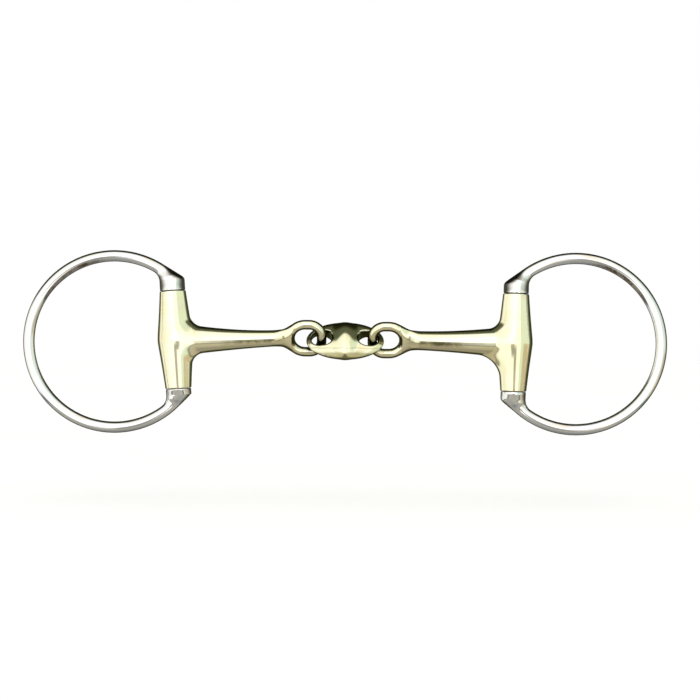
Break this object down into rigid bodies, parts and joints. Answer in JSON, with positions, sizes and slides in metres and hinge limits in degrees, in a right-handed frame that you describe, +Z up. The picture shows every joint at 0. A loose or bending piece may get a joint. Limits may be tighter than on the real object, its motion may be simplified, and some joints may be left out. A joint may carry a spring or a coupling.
{
  "type": "snaffle bit",
  "caption": "Eggbutt snaffle bit: two round cheek rings that swing on tall barrels, and a double-jointed mouthpiece with an oval centre link.",
  "frame": {"origin": "middle of the bit's bounding box, at the middle of the oval centre link", "axes": "+X along the mouthpiece towards the right cheek, +Z up along the cheek barrels, -Y the front"},
  "size_m": [0.2604, 0.0144, 0.0744],
  "materials": {
    "mouthpiece_alloy": "polished pale yellow copper alloy",
    "ring_steel": "bright polished stainless steel"
  },
  "bodies": {
    "link": {"centre_link": "mouthpiece_alloy"},
    "left_arm": {"left_mouth_arm": "mouthpiece_alloy"},
    "right_arm": {"right_mouth_arm": "mouthpiece_alloy"},
    "left_cheek": {"left_ring": "ring_steel", "left_hinge_pin": "ring_steel"},
    "right_cheek": {"right_ring": "ring_steel", "right_hinge_pin": "ring_steel"}
  },
  "joints": [
    {"name": "left_arm_fold", "type": "hinge", "parent": "link", "child": "left_arm", "pos_m": [-0.0095, 0, 0], "axis": [0, -0.454, 0.891], "range_deg": [-40, 40]},
    {"name": "right_arm_fold", "type": "hinge", "parent": "link", "child": "right_arm", "pos_m": [0.011, 0, 0], "axis": [0, 0.454, -0.891], "range_deg": [-40, 40]},
    {"name": "left_ring_swing", "type": "hinge", "parent": "left_arm", "child": "left_cheek", "pos_m": [-0.0686, 0, 0], "axis": [-0.068, 0, 0.9977], "range_deg": [-110, 110]},
    {"name": "right_ring_swing", "type": "hinge", "parent": "right_arm", "child": "right_cheek", "pos_m": [0.0686, 0, 0], "axis": [-0.0209, 0, -0.9998], "range_deg": [-110, 110]}
  ]
}
